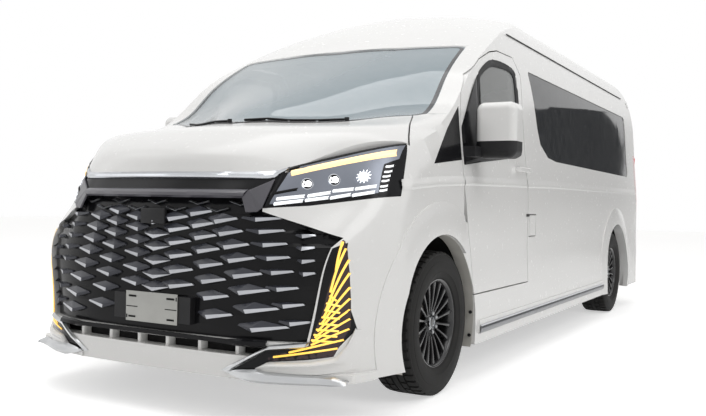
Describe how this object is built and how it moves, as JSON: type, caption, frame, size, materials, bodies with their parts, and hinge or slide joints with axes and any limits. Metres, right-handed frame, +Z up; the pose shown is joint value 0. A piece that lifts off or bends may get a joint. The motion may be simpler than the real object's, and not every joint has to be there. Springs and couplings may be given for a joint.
{
  "type": "high-roof passenger van",
  "caption": "Long-wheelbase high-roof passenger van with opening bonnet, cab doors and twin rear doors, steered front wheels and a seated cabin.",
  "frame": {"origin": "on the ground, halfway along and across the van", "axes": "+X to the van's left, +Y to its rear, +Z up"},
  "size_m": [2.4, 5.915, 2.28],
  "materials": {
    "body_paint": "glossy pearl white paint",
    "tyre": "black rubber",
    "rim": "gloss black alloy",
    "tinted_glass": "dark tinted glass",
    "clear_glass": "clear glass",
    "lamp": "dark lamp behind a clear cover",
    "red_lamp": "red lamp lens",
    "black_plastic": "black plastic",
    "cabin_plastic": "grained dark plastic",
    "seat_fabric": "woven seat cloth",
    "liner_plastic": "rough black liner",
    "dark_steel": "black chassis paint"
  },
  "bodies": {
    "root": {"body_side_left": "body_paint", "body_side_right": "body_paint", "chassis_rails": "dark_steel", "cowl": "black_plastic", "dashboard": "cabin_plastic", "engine": "dark_steel", "exhaust": "dark_steel", "floor_pan": "dark_steel", "front_bumper": "body_paint", "front_fenders": "body_paint", "front_lamps": "lamp", "front_seats": "seat_fabric", "front_suspension": "dark_steel", "fuel_tank": "liner_plastic", "grille": "black_plastic", "leaf_springs": "dark_steel", "nose_bar": "black_plastic", "plate_holder": "black_plastic", "propshaft": "dark_steel", "quarter_panels": "black_plastic", "rear_axle": "dark_steel", "rear_bumper": "body_paint", "rear_seats": "seat_fabric", "roof": "body_paint", "seat_frames": "dark_steel", "side_glass": "tinted_glass", "sliding_door": "body_paint", "tail_lamps": "red_lamp", "wheel_housings": "liner_plastic", "windscreen": "clear_glass"},
    "bonnet": {"bonnet": "body_paint"},
    "door_left": {"door_left": "body_paint", "door_glass_left": "tinted_glass", "mirror_left": "body_paint"},
    "door_right": {"door_right": "body_paint", "door_glass_right": "tinted_glass", "mirror_right": "body_paint"},
    "rear_door_left": {"rear_door_left": "body_paint", "rear_glass_left": "tinted_glass"},
    "rear_door_right": {"rear_door_right": "body_paint", "rear_glass_right": "tinted_glass"},
    "fuel_lid": {"fuel_lid": "body_paint"},
    "steering_wheel": {"steering_wheel": "cabin_plastic"},
    "knuckle_left": {"knuckle_left": "dark_steel"},
    "knuckle_right": {"knuckle_right": "dark_steel"},
    "wheel_front_left": {"tyre_front_left": "tyre", "rim_front_left": "rim"},
    "wheel_front_right": {"tyre_front_right": "tyre", "rim_front_right": "rim"},
    "wheel_rear_left": {"tyre_rear_left": "tyre", "rim_rear_left": "rim"},
    "wheel_rear_right": {"tyre_rear_right": "tyre", "rim_rear_right": "rim"}
  },
  "joints": [
    {"name": "bonnet_hinge", "type": "hinge", "parent": "root", "child": "bonnet", "pos_m": [0, -1.9655, 1.395], "axis": [-1, 0, 0], "range_deg": [0, 50]},
    {"name": "door_left_hinge", "type": "hinge", "parent": "root", "child": "door_left", "pos_m": [0.985, -1.7145, 1], "axis": [0, 0, -1], "range_deg": [0, 68]},
    {"name": "door_right_hinge", "type": "hinge", "parent": "root", "child": "door_right", "pos_m": [-0.985, -1.7145, 1], "axis": [0, 0, 1], "range_deg": [0, 68]},
    {"name": "rear_door_left_hinge", "type": "hinge", "parent": "root", "child": "rear_door_left", "pos_m": [0.8655, 2.9595, 1.2], "axis": [0, 0, -1], "range_deg": [0, 170]},
    {"name": "rear_door_right_hinge", "type": "hinge", "parent": "root", "child": "rear_door_right", "pos_m": [-0.8655, 2.9595, 1.2], "axis": [0, 0, 1], "range_deg": [0, 170]},
    {"name": "fuel_lid_hinge", "type": "hinge", "parent": "root", "child": "fuel_lid", "pos_m": [0.976, -0.6195, 0.817], "axis": [0, 0, -1], "range_deg": [0, 95]},
    {"name": "steer_left", "type": "hinge", "parent": "root", "child": "knuckle_left", "pos_m": [0.7435, -1.9475, 0.356], "axis": [-0.225, 0, 0.9744], "range_deg": [-35, 35]},
    {"name": "steer_right", "type": "hinge", "parent": "root", "child": "knuckle_right", "pos_m": [-0.7435, -1.9475, 0.356], "axis": [0.225, 0, 0.9744], "range_deg": [-35, 35]},
    {"name": "steering_wheel_turn", "type": "hinge", "parent": "root", "child": "steering_wheel", "pos_m": [0.45, -1.3575, 1.165], "axis": [0, 0.6157, 0.788], "range_deg": [-560, 560]},
    {"name": "roll_front_left", "type": "hinge", "parent": "knuckle_left", "child": "wheel_front_left", "pos_m": [0.8375, -1.9475, 0.356], "axis": [1, 0, 0], "continuous": true},
    {"name": "roll_front_right", "type": "hinge", "parent": "knuckle_right", "child": "wheel_front_right", "pos_m": [-0.8375, -1.9475, 0.356], "axis": [1, 0, 0], "continuous": true},
    {"name": "roll_rear_left", "type": "hinge", "parent": "root", "child": "wheel_rear_left", "pos_m": [0.8375, 1.9125, 0.356], "axis": [1, 0, 0], "continuous": true},
    {"name": "roll_rear_right", "type": "hinge", "parent": "root", "child": "wheel_rear_right", "pos_m": [-0.8375, 1.9125, 0.356], "axis": [1, 0, 0], "continuous": true}
  ],
  "couplings": [
    {"joint": "steer_right", "follows": "steer_left", "ratio": 1},
    {"joint": "steering_wheel_turn", "follows": "steer_left", "ratio": 15}
  ]
}
